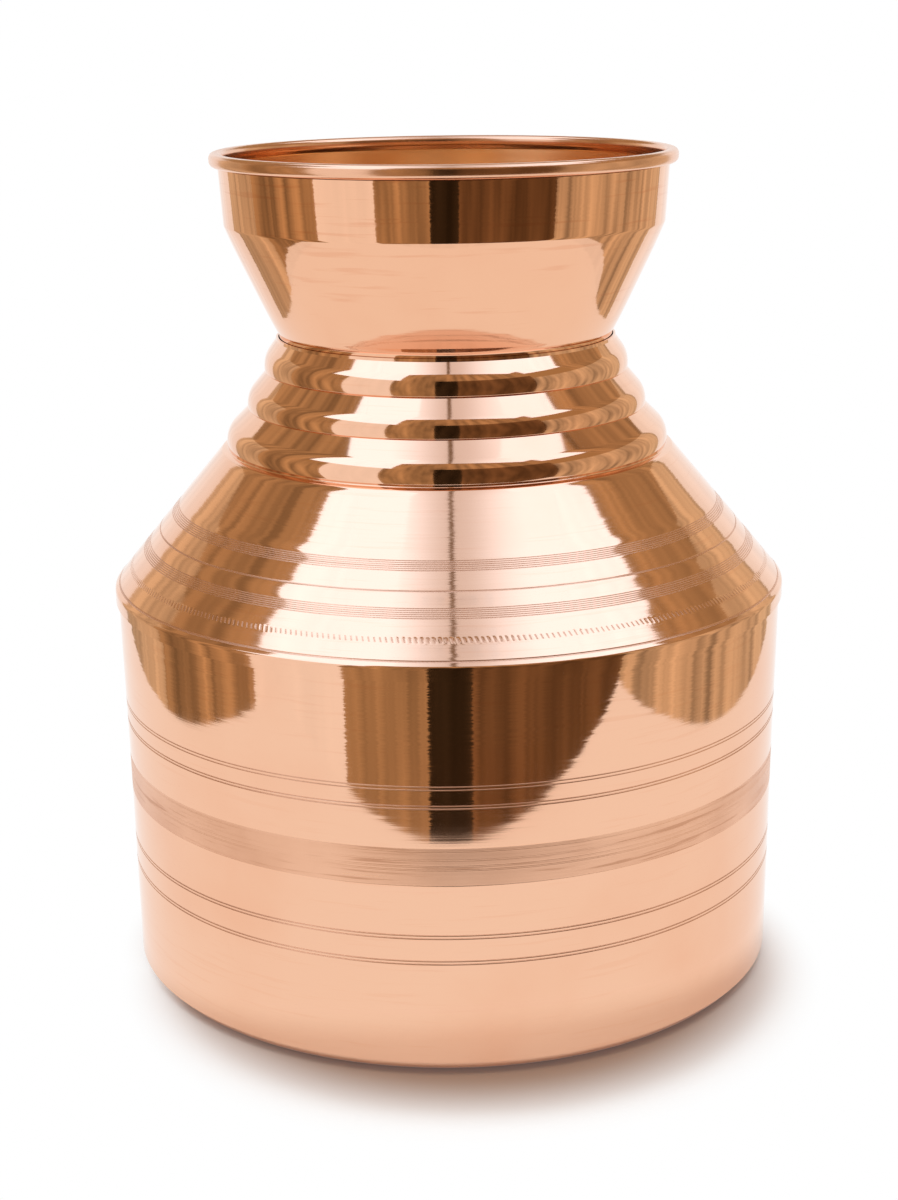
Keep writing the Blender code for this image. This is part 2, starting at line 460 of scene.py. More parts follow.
@dataclass(frozen=True)
class RoughMetalFinish:
    """Unpolished metal inside the seams and the rim.

    Attributes:
        name: Name of the material.
        light: Lighter colour of the metal.
        dark: Darker colour of the metal.
        roughness: Lowest and highest roughness.
        grain: Scale of the grain.
        grain_detail: Octaves of the grain.
        grain_range: Noise at which the darker and the lighter colour are full.
        grain_bump: Strength and height of the grain's relief.
    """

    name: str
    light: Colour
    dark: Colour
    roughness: Point
    grain: float
    grain_detail: float = 5.0
    grain_range: Point = (0.3, 0.7)
    grain_bump: Point = (0.4, 0.0001)

    def material(self) -> bpy.types.Material:
        """Make the material.

        Returns:
            A procedural metal on the piece's own coordinates.
        """
        material = bpy.data.materials.new(self.name)
        graph = Graph(material)
        grain = graph.noise(graph.place(), self.grain, self.grain_detail)
        tone = graph.mix(graph.ramp(grain, *self.grain_range), self.dark, self.light)
        dull = graph.spread(grain, (0.0, 1.0), self.roughness[::-1])
        strength, distance = self.grain_bump
        bump = graph.add("ShaderNodeBump", {"Height": grain, "Strength": strength, "Distance": distance})
        graph.end(graph.metal(tone, dull, bump.outputs[0]))
        return material


def put_in_scene(name: str, mesh: bmesh.types.BMesh, materials: list[bpy.types.Material]) -> bpy.types.Object:
    """Make an object of a mesh.

    Args:
        name: Name of the object.
        mesh: Its mesh, which is used up.
        materials: Its materials.

    Returns:
        The object, linked to the scene.
    """
    data = bpy.data.meshes.new(name)
    mesh.to_mesh(data)
    mesh.free()
    for material in materials:
        data.materials.append(material)
    piece = bpy.data.objects.new(name, data)
    bpy.context.scene.collection.objects.link(piece)
    return piece


class TurnedSheet:
    """A piece of sheet that is spun about the pot's axis."""

    name: str = ""
    steps: int = 252
    sectors: int = 12

    def section(self) -> list[Point]:
        """Radius and height of the sheet's section, point by point."""
        raise NotImplementedError

    def spin(self, mesh: bmesh.types.BMesh, section: list[Point], closed: bool) -> None:
        """Spin a section into one sector and repeat the sector round the axis.

        Args:
            mesh: Empty mesh that takes the turned faces.
            section: Radius and height of the section's points in order.
            closed: True if the last point joins the first.
        """
        points = [mesh.verts.new((radius, 0.0, height)) for radius, height in section]
        edges = [mesh.edges.new(pair) for pair in zip(points, points[1:])]
        if closed:
            edges.append(mesh.edges.new((points[-1], points[0])))
        turn = 2.0 * pi / self.sectors
        bmesh.ops.spin(mesh, geom=points + edges, cent=(0.0, 0.0, 0.0), axis=(0.0, 0.0, 1.0), angle=turn,
                       steps=self.steps // self.sectors, use_duplicate=False)
        self.repeat(mesh, list(mesh.verts) + list(mesh.edges) + list(mesh.faces), self.sectors)

    def repeat(self, mesh: bmesh.types.BMesh, geometry: list, count: int) -> None:
        """Repeat a sector of the mesh round the axis and join the copies.

        Args:
            mesh: Mesh that takes the copies.
            geometry: Vertices, edges and faces of the sector.
            count: Number of sectors in a full turn.
        """
        bmesh.ops.spin(mesh, geom=geometry, cent=(0.0, 0.0, 0.0), axis=(0.0, 0.0, 1.0), use_duplicate=True,
                       angle=2.0 * pi * (count - 1) / count, steps=count - 1)
        bmesh.ops.remove_doubles(mesh, verts=mesh.verts, dist=MERGE_DISTANCE)

    def face_kind(self, face: bmesh.types.BMFace) -> Face:
        """Inside where a face looks to the axis, else outside."""
        middle = face.calc_center_median()
        outward = face.normal.x * middle.x + face.normal.y * middle.y
        return Face.INSIDE if outward < INWARD_LEAN * hypot(middle.x, middle.y) else Face.OUTSIDE

    def finish(self, mesh: bmesh.types.BMesh, materials: list[bpy.types.Material]) -> bpy.types.Object:
        """Close the mesh, shade it and put it in the scene in place of its solid.

        Args:
            mesh: The turned mesh, which is used up.
            materials: Finishes of the piece, in the order of Face.

        Returns:
            The piece's object.
        """
        bmesh.ops.remove_doubles(mesh, verts=mesh.verts, dist=MERGE_DISTANCE)
        bmesh.ops.recalc_face_normals(mesh, faces=mesh.faces)
        mesh.normal_update()
        for face in mesh.faces:
            face.smooth = True
            face.material_index = self.face_kind(face).value
        for edge in mesh.edges:
            edge.smooth = edge.is_manifold and edge.calc_face_angle() < SHARP_ANGLE
        open_edges = sum(not edge.is_manifold for edge in mesh.edges)
        piece = put_in_scene(self.name + "_sheet", mesh, materials)
        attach(piece, "root")
        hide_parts(self.name)
        triangles = sum(len(face.vertices) - 2 for face in piece.data.polygons)
        log.info("%s: %d triangles, %d open edges", piece.name, triangles, open_edges)
        return piece

    def build(self, materials: list[bpy.types.Material]) -> bpy.types.Object:
        """Make the piece from its closed section.

        Args:
            materials: Finishes of the piece, in the order of Face.

        Returns:
            The piece's object.
        """
        mesh = bmesh.new()
        self.spin(mesh, self.section(), closed=True)
        return self.finish(mesh, materials)


@dataclass
class BasePan(TurnedSheet):
    """Dished bottom: flange inside the drum, round heel, flat foot ring and raised middle.

    Attributes:
        flange_lean: How far the flange leans in at its foot.
        kick_run: Run of the slope from the foot ring up to the raised middle.
        kick_rise: Height of the raised middle.
        foot_bend: Reach of the bend from the foot ring into the slope.
        bend: Half the width of the other bends under the pan.
        bend_lift: How far the bends soften the two ends of the slope.
        inner_bend: How far the inner face's bends lie from those under the pan.
        swirl_rings: Radius of the turned rings on the raised middle, from the outside in.
        swirl_depth: Depth of the turned rings.
        floor_turn: Least upward lean of the faces that count as the pan's floor.
    """

    name: str = "base_pan"
    flange_top: float = 0.0159
    flange_radius: float = 0.116268
    flange_lean: float = 0.0001
    heel_radius: float = 0.111115
    heel_round: float = 0.0050
    heel_steps: tuple[int, int] = (20, 12)
    foot_inner: float = 0.086115
    kick_run: float = 0.0100
    kick_rise: float = 0.0025
    foot_bend: float = 0.0010
    bend: float = 0.0006
    bend_lift: float = 0.0001
    inner_bend: float = 0.0004
    swirl_rings: tuple[float, ...] = (0.0600, 0.0400, 0.0200)
    swirl_depth: float = 0.00012
    floor_turn: float = 0.5

    def section(self) -> list[Point]:
        """Closed section of the sheet.

        Returns:
            The outer face from the flange to the axis, then the inner face back.
        """
        heel = (self.heel_radius, self.heel_round)
        kick = self.foot_inner - self.kick_run
        rise = self.kick_rise
        under = [(self.flange_radius, self.flange_top)]
        under.append((self.flange_radius - self.flange_lean, self.heel_round + self.bend))
        under += arc(heel, self.heel_round, 0.0, -90.0, self.heel_steps[0])
        under += [(self.foot_inner + self.foot_bend, 0.0), (self.foot_inner, self.bend_lift)]
        under += [(kick + self.bend, rise - self.bend_lift), (kick - self.bend, rise)]
        for radius in self.swirl_rings:
            under += [(radius + self.bend, rise), (radius, rise + self.swirl_depth)]
            under.append((radius - self.bend, rise))
        under.append((0.0, rise))
        above = [(0.0, rise + SHEET), (kick - self.inner_bend, rise + SHEET)]
        above.append((self.foot_inner + self.inner_bend, SHEET))
        above += arc(heel, self.heel_round - SHEET, -90.0, 0.0, self.heel_steps[1])
        above.append((self.flange_radius - SHEET, self.flange_top))
        return under + above

    def face_kind(self, face: bmesh.types.BMFace) -> Face:
        """Inside where a face looks to the axis or up, else outside."""
        return Face.INSIDE if face.normal.z > self.floor_turn else super().face_kind(face)


@dataclass
class DrumWall(TurnedSheet):
    """Tapered wall of the drum, with engraved lines and a band of fine turned ridges.

    Attributes:
        top_ease: Length of the flat edge under the shoulder.
        foot_ease: Length over which the wall straightens above its foot, and size of the foot's bevel.
        lines: Height, width and depth of each engraved line.
        band: Lower and upper height of the ridged band.
        ridges: Number of ridges in the band.
        ridge_depth: Greatest depth between the ridges.
        ridge_least: Least share of that depth.
        draw: Upper and lower height between which the wall is gently drawn in.
        draw_depth: How far it is drawn in below that.
        draw_step: Height between the points that shape the draw.
    """

    name: str = "drum_wall"
    edge_height: float = 0.0039
    height: float = 0.1361
    foot_radius: float = 0.1171
    top_radius: float = 0.1190
    top_ease: float = 0.0003
    foot_ease: Point = (0.0006, 0.0002)
    lines: tuple[tuple[float, float, float], ...] = (
        (0.1010, 0.00050, 0.00008),
        (0.0999, 0.00050, 0.00008),
        (0.0945, 0.00050, 0.00010),
        (0.0935, 0.00060, 0.00010),
        (0.0497, 0.00055, 0.00010),
        (0.0486, 0.00055, 0.00010),
        (0.0407, 0.00055, 0.00010),
        (0.0396, 0.00055, 0.00010),
    )
    band: Point = (0.0670, 0.0800)
    ridges: int = 30
    ridge_depth: float = 0.000024
    ridge_least: float = 0.6
    draw: Point = (0.1250, 0.0812)
    draw_depth: float = 0.000245
    draw_step: float = 0.0025
    seed: int = 11

    def drawn(self, height: float) -> float:
        """How far the wall is drawn in at a height.

        Args:
            height: Height above the plane that the pot stands on.

        Returns:
            Depth below the straight wall, which runs out again from the band to the foot.
        """
        upper, lower = self.draw
        if height < self.band[0]:
            return self.draw_depth * max(0.0, height - self.edge_height) / (self.band[0] - self.edge_height)
        return self.draw_depth * eased(min(1.0, max(0.0, (upper - height) / (upper - lower))))

    def relief(self) -> list[Point]:
        """Engraved lines and the ridged band on the wall as it is drawn in.

        Returns:
            Distance from the upper edge and height of the points in order down the wall.
        """
        top = self.edge_height + self.height
        upper, lower = self.draw
        count = round((upper - lower) / self.draw_step)
        points = []
        for height in (upper - self.draw_step * index for index in range(count + 1)):
            if all(abs(height - line[0]) > 2 * line[1] for line in self.lines):
                points.append((top - height, 0.0))
        for height, width, depth in self.lines:
            points += Cut(top - height, width, depth).relief()
        dice = Random(self.seed)
        start = top - self.band[1]
        end = top - self.band[0]
        pitch = (end - start) / self.ridges
        for place in (start + pitch * index for index in range(self.ridges)):
            depth = self.ridge_depth * dice.uniform(self.ridge_least, 1.0)
            points += [(place, 0.0), (place + pitch / 2, -depth)]
        points += [(start - pitch, 0.0), (end, 0.0), (end + pitch, 0.0)]
        return [(place, height - self.drawn(top - place)) for place, height in sorted(points)]

    def section(self) -> list[Point]:
        """Closed section of the sheet.

        Returns:
            The outer face from the top down, then the inner face back up.
        """
        top = self.edge_height + self.height
        wall = Generator((self.top_radius, top), (self.foot_radius, self.edge_height))
        straight, bevel = self.foot_ease
        outside = [wall.at(0.0), wall.at(self.top_ease)]
        outside += [wall.at(place, height) for place, height in self.relief()]
        outside += [wall.at(wall.length - straight), wall.at(wall.length - bevel)]
        outside.append(wall.at(wall.length, -bevel))
        inside = [(self.foot_radius - SHEET, self.edge_height), (self.top_radius - SHEET, top)]
        return outside + inside

    def face_kind(self, face: bmesh.types.BMFace) -> Face:
        """Special in the brushed band, line in the engraved lines, else inside or outside."""
        kind = super().face_kind(face)
        height = face.calc_center_median().z
        if kind is Face.INSIDE:
            return kind
        if any(Cut(*line).holds(height) for line in self.lines):
            return Face.LINE
        return Face.SPECIAL if self.band[0] < height < self.band[1] else kind


@dataclass
class RingedShoulder(TurnedSheet):
    """Lip, three raised rings, sloping cone and the hem that laps the drum.

    Attributes:
        ring_rounds: Radius of each ring's round, from the top down.
        ring_out_steps: How much further out each ring's widest point lies than what is above it.
        ring_drops: Drop from each ring's centre to the next.
        ring_starts: How far out from the end of what is above it each ring's upper side starts.
        ring_slopes: Angle at which each ring's round runs into its straight upper side.
        ring_feet: Angle at which the round of each ring but the last turns under.
        nose_round: Radius of the turn under.
        nose_end: Angle at which the turn under ends.
        cone_seat: Radius and angle of the round that the cone's line starts from.
        foot_angle: Angle at which the last ring turns into the groove at its foot.
        foot_slope: Direction that the groove's lower side faces, in degrees.
        groove_lip: Distance from the groove's end and height of the points of its soft lip.
        cone_step: Distance between the points that shape the waves.
        cone_steps: Number of the first of those points, and of the one after the last.
        waves: Distance down the cone and height of the shallow waves left by spinning.
        bands: Distance down the cone of the first and last line of each engraved band, and its lines.
        band_line: Width and depth of a band's lines.
        scores: Place, width and depth of the single lines.
        knurl: Distance down the cone of the knurled line's two edges.
        knurl_border: Width of the strip that joins each edge to the cone.
        teeth: Number of knurl marks round the pot.
        tooth_parts: Parts of a knurl mark across and down.
        tooth_sharpness: Powers that shape a knurl mark across and down.
        tooth_floor: Share of a knurl mark's width and height that its floor takes up.
        lining_start: Distance past the groove's end at which the cone's lining starts.
        outer_steps: Parts of each ring's round outside, and of each turn under a ring.
        lining_steps: Parts of each ring's round inside, and of each fillet.
        hem_steps: Parts of the hem's round outside and inside.
    """

    name: str = "ringed_shoulder"
    drum_top: float = 0.1400
    hem_radius: float = 0.11999
    hem_round: float = 0.0020
    hem_lap: float = 0.0037
    lip_radius: float = 0.0597
    lip_round: float = 0.0022
    lip_height: float = 0.0006
    cone_rise: float = 0.0513
    ring_rounds: tuple[float, ...] = (0.0104, 0.0092, 0.0088)
    ring_out_steps: tuple[float, ...] = (0.0045, 0.0063, 0.0077)
    ring_drops: tuple[float, ...] = (0.0131, 0.0129)
    ring_starts: tuple[float, ...] = (0.0002, -0.0001, -0.0001)
    ring_slopes: tuple[float, ...] = (36.0, 41.0, 46.0)
    ring_feet: tuple[float, ...] = (-7.0, -6.0)
    nose_round: float = 0.0005
    nose_end: float = -75.0
    valley_round: float = 0.0004
    cone_seat: Point = (0.0007, -3.0)
    foot_angle: float = -14.0
    foot_slope: float = 75.0
    groove_lip: tuple[Point, ...] = ((-0.0004, -0.00026), (0.0, -0.00006), (0.0004, 0.0))
    cone_step: float = 0.001
    cone_steps: tuple[int, int] = (5, 64)
    waves: tuple[Point, ...] = (
        (0.0000, 0.0),
        (0.0120, 0.000020),
        (0.0242, 0.000040),
        (0.0276, -0.000030),
        (0.0315, 0.000030),
        (0.0385, 0.000060),
        (0.0443, -0.000060),
        (0.0486, 0.000010),
        (0.0616, -0.000120),
        (0.0640, -0.000120),
    )
    bands: tuple[tuple[float, float, int], ...] = ((0.0278, 0.0313, 6), (0.0444, 0.0479, 6))
    band_line: Point = (0.00040, 0.000030)
    scores: tuple[tuple[float, float, float], ...] = (
        (0.0385, 0.00060, 0.000030),
        (0.0624, 0.00080, 0.000080),
    )
    knurl: Point = (0.0540, 0.0566)
    knurl_border: float = 0.0002
    teeth: int = 378
    tooth_parts: int = 6
    tooth_depth: float = 0.000035
    tooth_sharpness: Point = (2.0, 0.7)
    tooth_slant: float = 0.45
    tooth_floor: Point = (0.4, 0.8)
    lining_start: float = 0.0010
    outer_steps: tuple[int, int] = (24, 12)
    lining_steps: tuple[int, int] = (10, 4)
    hem_steps: tuple[int, int] = (10, 5)
    rings: list[Point] = field(default_factory=list)

    def __post_init__(self) -> None:
        """Place the rings, the rounds that join them to the lip and the cone, and the engraved lines."""
        height = self.drum_top + self.cone_rise + sum(self.ring_drops)
        widest = self.lip_radius
        for out_step, size, drop in zip(self.ring_out_steps, self.ring_rounds, (*self.ring_drops, 0.0)):
            widest += out_step
            self.rings.append((widest - size, height))
            height -= drop
        top_ring = self.rings[0]
        low_ring = self.rings[-1]
        lip_middle = self.lip_radius + self.lip_round
        reach = self.ring_rounds[0] + self.lip_round
        self.lip_centre = (lip_middle, top_ring[1] + sqrt(reach ** 2 - (lip_middle - top_ring[0]) ** 2))
        seat_round, seat_angle = self.cone_seat
        self.seat = polar(low_ring, self.ring_rounds[-1] + seat_round, seat_angle)
        self.foot = polar(low_ring, self.ring_rounds[-1] + self.valley_round, self.foot_angle)
        self.hem_centre = (self.hem_radius - self.hem_round, self.drum_top)
        run = self.seat[0] - self.hem_centre[0]
        rise = self.seat[1] - self.hem_centre[1]
        self.cone_angle = degrees(asin((self.hem_round + seat_round) / hypot(run, rise)) - atan2(run, rise))
        self.cuts = [Cut(*score) for score in self.scores]
        for first, last, count in self.bands:
            pitch = (last - first) / (count - 1)
            self.cuts += [Cut(first + pitch * index, *self.band_line) for index in range(count)]

    def valley(self, index: int) -> Point:
        """Centre of the fillet between a ring and the next.

        Args:
            index: Number of the upper ring.

        Returns:
            Centre of the fillet that touches both on their outer side.
        """
        upper, lower = self.rings[index:index + 2]
        upper_reach, lower_reach = (size + self.valley_round for size in self.ring_rounds[index:index + 2])
        run = lower[0] - upper[0]
        rise = lower[1] - upper[1]
        apart = hypot(run, rise)
        along = (apart ** 2 + upper_reach ** 2 - lower_reach ** 2) / (2 * apart)
        out = sqrt(max(0.0, upper_reach ** 2 - along ** 2))
        return (upper[0] + (run * along - rise * out) / apart, upper[1] + (rise * along + run * out) / apart)

    def neck_lining(self) -> list[Point]:
        """Inner face of the lip and rings.

        Returns:
            Points from the lip's top down to the groove at the foot of the last ring.
        """
        ring_steps, fillet_steps = self.lining_steps
        angle = bearing(self.rings[0], self.lip_centre)
        points = [(self.lip_radius - SHEET, self.lip_centre[1] + self.lip_height)]
        points += arc(self.lip_centre, self.lip_round + SHEET, 180.0, 180.0 + angle, fillet_steps)
        for index, (ring, size) in enumerate(zip(self.rings, self.ring_rounds)):
            if index + 1 < len(self.rings):
                centre = self.valley(index)
                turn = bearing(ring, centre)
                after = bearing(self.rings[index + 1], centre)
            else:
                centre = self.foot
                turn = self.foot_angle
                after = self.foot_slope
            points += arc(ring, size - SHEET, angle, turn, ring_steps)[1:]
            points += arc(centre, self.valley_round + SHEET, 180.0 + turn, 180.0 + after, fillet_steps)[1:]
            angle = after
        return points

    def outer_neck(self) -> list[Point]:
        """Outer face of the lip and rings, whose upper sides run straight.

        Returns:
            Points of the face from the top down.
        """
        ring_steps, nose_steps = self.outer_steps
        points = [(self.lip_radius, self.lip_centre[1] + self.lip_height)]
        for index, (ring, size, slope) in enumerate(zip(self.rings, self.ring_rounds, self.ring_slopes)):
            head = polar(ring, size, slope)
            inner = points[-1][0] + self.ring_starts[index]
            points.append((inner, head[1] + (head[0] - inner) / tan(radians(slope))))
            last = index + 1 == len(self.rings)
            foot = self.foot_angle if last else self.ring_feet[index]
            points += arc(ring, size, slope, foot, ring_steps)
            if last:
                turn = arc(self.foot, self.valley_round, 180.0 + foot, 180.0 + self.foot_slope, nose_steps)
            else:
                nose = polar(ring, size - self.nose_round, foot)
                turn = arc(nose, self.nose_round, foot, self.nose_end, nose_steps)
            points += turn[1:]
        return points

    def cone(self) -> Generator:
        """Straight stretch of the cone, from under the last ring to the hem."""
        head = polar(self.seat, self.cone_seat[0], 180.0 + self.cone_angle)
        return Generator(head, polar(self.hem_centre, self.hem_round, self.cone_angle))

    def groove_end(self) -> float:
        """Distance down the cone at which the groove's lower side comes out of it.

        Returns:
            The distance from the cone's start.
        """
        cone = self.cone()
        bottom = polar(self.foot, self.valley_round, 180.0 + self.foot_slope)
        angle = radians(self.cone_angle)
        run = bottom[0] - cone.start[0]
        rise = bottom[1] - cone.start[1]
        depth = run * cos(angle) + rise * sin(angle)
        return run * sin(angle) - rise * cos(angle) - depth / tan(radians(self.foot_slope) - angle)

    def wave(self, distance: float) -> float:
        """Height of the spinning waves.

        Args:
            distance: Distance down the cone.

        Returns:
            Height above the straight cone.
        """
        for (start, low), (end, high) in zip(self.waves, self.waves[1:]):
            if start <= distance <= end:
                return low + (high - low) * eased((distance - start) / (end - start))
        return self.waves[-1][1]

    def cone_face(self) -> list[Point]:
        """Distance and height of the outer face of the cone, engraved lines included.

        Returns:
            The points in order down the cone.
        """
        edge = self.groove_end()
        relief = [(edge + place, height) for place, height in self.groove_lip]
        for place in (self.cone_step * index for index in range(*self.cone_steps)):
            if all(abs(place - cut.place) > cut.width for cut in self.cuts):
                relief.append((place, 0.0))
        for cut in self.cuts:
            relief += cut.relief()
        return sorted((place, height + self.wave(place)) for place, height in relief)

    def knurl_ring(self, mesh: bmesh.types.BMesh) -> None:
        """Add the knurled line: one slanted dent, repeated round the cone.

        Args:
            mesh: Mesh that takes the ring of dents.
        """
        cone = self.cone()
        parts = self.tooth_parts
        cell = bmesh.ops.create_grid(mesh, x_segments=parts, y_segments=parts, size=0.5)["verts"]
        pitch = 2.0 * pi / self.teeth
        low, high = self.knurl
        for vert in cell:
            across = vert.co.x
            down = vert.co.y
            depth = self.tooth_depth
            for share, power in zip((across, down), self.tooth_sharpness):
                depth *= max(0.0, cos(pi * share)) ** power
            place = low + (high - low) * (down + 0.5)
            radius, height = cone.at(place, self.wave(place) - depth)
            turn = pitch * (across + self.tooth_slant * down)
            vert.co = (radius * cos(turn), radius * sin(turn), height)
        geometry = cell + list({edge for vert in cell for edge in vert.link_edges})
        geometry += list({face for vert in cell for face in vert.link_faces})
        self.repeat(mesh, geometry, self.teeth)

    def section(self) -> list[Point]:
        """Section of the sheet, open where the knurled line fits in.

        Returns:
            Points from the knurled line up the outside, down the inside and up round the hem.
        """
        cone = self.cone()
        face = self.cone_face()
        low = self.knurl[0] - self.knurl_border
        high = self.knurl[1] + self.knurl_border
        upper = [cone.at(*point) for point in face if point[0] < low]
        upper.append(cone.at(low, self.wave(low)))
        lower = [cone.at(high, self.wave(high))]
        lower += [cone.at(*point) for point in face if point[0] > high]
        bottom = self.drum_top - self.hem_lap
        hem = arc(self.hem_centre, self.hem_round, self.cone_angle, 0.0, self.hem_steps[0])
        hem.append((self.hem_radius, bottom))
        lining = self.neck_lining()
        lining.append(cone.at(self.groove_end() + self.lining_start, -SHEET))
        lining += arc(self.hem_centre, self.hem_round - SHEET, self.cone_angle, 0.0, self.hem_steps[1])
        lining.append((self.hem_radius - SHEET, bottom))
        return upper[::-1] + self.outer_neck()[::-1] + lining + hem[::-1] + lower[::-1]

    def in_tooth(self, place: float, turn: float) -> bool:
        """Tell whether a point lies on the floor of a knurl mark.

        Args:
            place: Distance down the cone.
            turn: Angle round the axis in radians.

        Returns:
            True on a floor.
        """
        low, high = self.knurl
        down = (place - low) / (high - low) - 0.5
        across = turn * self.teeth / (2.0 * pi) - self.tooth_slant * down
        width, height = self.tooth_floor
        return abs(down) < height / 2 and abs(across - round(across)) < width / 2

    def face_kind(self, face: bmesh.types.BMFace) -> Face:
        """Special on the rings, line in the engraved lines and marks, else inside or outside."""
        kind = super().face_kind(face)
        middle = face.calc_center_median()
        if kind is Face.INSIDE:
            return kind
        if middle.z > self.foot[1] - self.valley_round:
            return Face.SPECIAL
        place = self.cone().along((hypot(middle.x, middle.y), middle.z))
        marked = self.in_tooth(place, atan2(middle.y, middle.x))
        return Face.LINE if marked or any(cut.holds(place) for cut in self.cuts) else kind

    def build(self, materials: list[bpy.types.Material]) -> bpy.types.Object:
        """Make the shoulder and join the knurled line to it.

        Args:
            materials: Finishes of the sheet, in the order of Face.

        Returns:
            The shoulder's object.
        """
        mesh = bmesh.new()
        self.spin(mesh, self.section(), closed=False)
        self.knurl_ring(mesh)
        middle = self.cone().at(sum(self.knurl) / 2)[1]
        rims = [edge for edge in mesh.edges if edge.is_boundary]
        bmesh.ops.bridge_loops(mesh, edges=[edge for edge in rims if edge.verts[0].co.z > middle])
        bmesh.ops.bridge_loops(mesh, edges=[edge for edge in rims if edge.verts[0].co.z < middle])
        return self.finish(mesh, materials)


@dataclass
class FunnelMouth(TurnedSheet):
    """Rolled rim, upright collar, crease, funnel and the tail that slips into the neck.

    Attributes:
        funnel_bulge: How far the funnel bows out.
        funnel_flat: Power that flattens the bow.
        funnel_steps: Parts of the funnel outside and inside.
        bead_tuck: Angle at which the rolled rim's edge ends.
        bead_entry: Angle at which the collar runs into the roll.
        bead_square: Power that squares the roll, 2 for a round one.
        bead_steps: Parts of the roll outside and inside.
        corner_reach: How far from a corner its round starts.
        corner_steps: Parts of each corner's round.
    """

    name: str = "funnel_mouth"
    lip_top: float = 0.227551
    tail_radius: float = 0.0587
    tail_end: float = 0.217551
    waist_rise: float = 0.0010
    funnel_height: float = 0.0381
    funnel_bulge: float = 0.00037
    funnel_flat: int = 4
    funnel_steps: tuple[int, int] = (16, 12)
    crease_radius: float = 0.0766
    collar_height: float = 0.0222
    collar_top_radius: float = 0.0779
    bead_radius: float = 0.0785
    bead_round: float = 0.00235
    bead_drop: float = 0.0026
    bead_tuck: float = -80.0
    bead_entry: float = 215.0
    bead_square: float = 2.6
    bead_steps: tuple[int, int] = (72, 40)
    corner_reach: float = 0.0004
    corner_steps: int = 3

    @property
    def bead_height(self) -> float:
        """Height of the middle of the rolled rim."""
        return self.lip_top + self.waist_rise + self.funnel_height + self.collar_height

    def rounded(self, corners: list[Point]) -> list[Point]:
        """Soften the inner corners of a line.

        Args:
            corners: Corners of the line, whose two ends stay.

        Returns:
            Points of the softened line.
        """
        points = [corners[0]]
        for before, corner, after in zip(corners, corners[1:], corners[2:]):
            start = Generator(corner, before).at(self.corner_reach)
            end = Generator(corner, after).at(self.corner_reach)
            for index in range(self.corner_steps + 1):
                share = index / self.corner_steps
                weights = ((1.0 - share) ** 2, 2.0 * share * (1.0 - share), share ** 2)
                points.append(tuple(sum(part * value for part, value in zip(weights, axis))
                                    for axis in zip(start, corner, end)))
        points.append(corners[-1])
        return points

    def funnel(self, depth: float, steps: int) -> list[Point]:
        """Slightly bowed funnel.

        Args:
            depth: How far the face lies inside the outer face.
            steps: Number of equal parts.

        Returns:
            Points from the crease down to the waist.
        """
        waist = self.lip_top + self.waist_rise
        crease = (self.crease_radius - depth, waist + self.funnel_height)
        line = Generator(crease, (self.tail_radius - depth, waist))
        points = []
        for share in (index / steps for index in range(steps + 1)):
            bow = self.funnel_bulge * (1.0 - (2.0 * share - 1.0) ** self.funnel_flat)
            points.append(line.at(line.length * share, bow))
        return points

    def bead(self, radius: float, start: float, end: float, steps: int) -> list[Point]:
        """Round of the rolled rim, a little squared by the roller.

        Args:
            radius: Radius along its axes.
            start: First angle in degrees, from the outward direction.
            end: Last angle in degrees.
            steps: Number of equal parts.

        Returns:
            The points, both ends included.
        """
        power = self.bead_square
        points = []
        for across, up in arc((0.0, 0.0), 1.0, start, end, steps):
            reach = radius * (abs(across) ** power + abs(up) ** power) ** (-1.0 / power)
            points.append((self.bead_radius + reach * across, self.bead_height + reach * up))
        return points

    def section(self) -> list[Point]:
        """Closed section of the sheet.

        Returns:
            The face that shows inside, from the rolled rim down, then the outer face back up.
        """
        roll = self.bead(self.bead_round, self.bead_tuck, self.bead_entry, self.bead_steps[0])
        curl = self.bead(self.bead_round - SHEET, self.bead_entry, self.bead_tuck, self.bead_steps[1])
        collar_top = self.bead_height - self.bead_drop
        inner = [roll[-1], (self.collar_top_radius - SHEET, collar_top)]
        inner += self.funnel(SHEET, self.funnel_steps[1])
        inner.append((self.tail_radius - SHEET, self.tail_end))
        outer = [(self.tail_radius, self.tail_end)]
        outer += self.funnel(0.0, self.funnel_steps[0])[::-1]
        outer += [(self.collar_top_radius, collar_top), curl[0]]
        return roll[:-1] + self.rounded(inner) + self.rounded(outer)[:-1] + curl

    def face_kind(self, face: bmesh.types.BMFace) -> Face:
        """Special on the rolled rim, and inside below it where a face looks to the axis."""
        rim = self.bead_height - self.bead_drop
        return super().face_kind(face) if face.calc_center_median().z < rim else Face.SPECIAL


def mirrored_only(sheet: bpy.types.Object) -> None:
    """Hide a sheet of the studio from all but the mirrors."""
    sheet.visible_camera = False
    sheet.visible_diffuse = False
    sheet.visible_transmission = False
    sheet.visible_shadow = False
    sheet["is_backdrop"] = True


def level_sheet(middle: Place, size: Point) -> bmesh.types.BMesh:
    """Make a level rectangle.

    Args:
        middle: Place of its middle.
        size: Length along X and along Y.

    Returns:
        One face with a UV map that spans it.
    """
    mesh = bmesh.new()
    mesh.loops.layers.uv.new("sheet")
    bmesh.ops.create_grid(mesh, x_segments=1, y_segments=1, size=0.5, calc_uvs=True)
    bmesh.ops.scale(mesh, vec=(*size, 1.0), verts=mesh.verts)
    bmesh.ops.translate(mesh, vec=middle, verts=mesh.verts)
    return mesh


